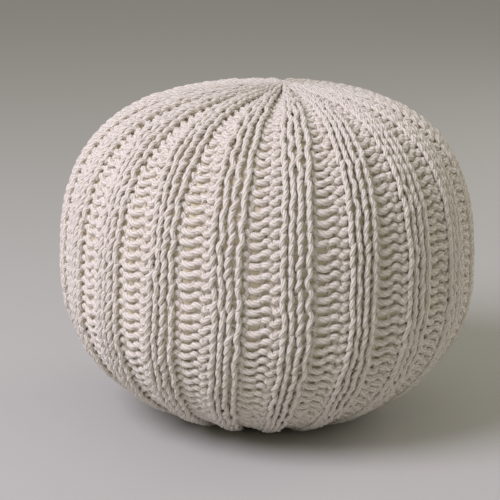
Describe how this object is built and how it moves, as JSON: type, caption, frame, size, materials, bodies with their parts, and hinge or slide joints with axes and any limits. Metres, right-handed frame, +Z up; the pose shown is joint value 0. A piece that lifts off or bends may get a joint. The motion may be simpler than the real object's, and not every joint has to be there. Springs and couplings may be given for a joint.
{
  "type": "knitted pouf",
  "caption": "Round stuffed floor cushion in a chunky rib-knit cover, drawn in at the crown, with a flat base to stand on.",
  "frame": {"origin": "middle of the flat base, on the surface that the pouf stands on", "axes": "+Z up along the pouf's axis, -Y towards the front"},
  "size_m": [0.5076, 0.5076, 0.4078],
  "materials": {
    "knit_yarn": "ivory plied cotton cord, chunky two-by-two rib knit, matt"
  },
  "bodies": {
    "root": {"knit_cover": "knit_yarn"}
  },
  "joints": []
}
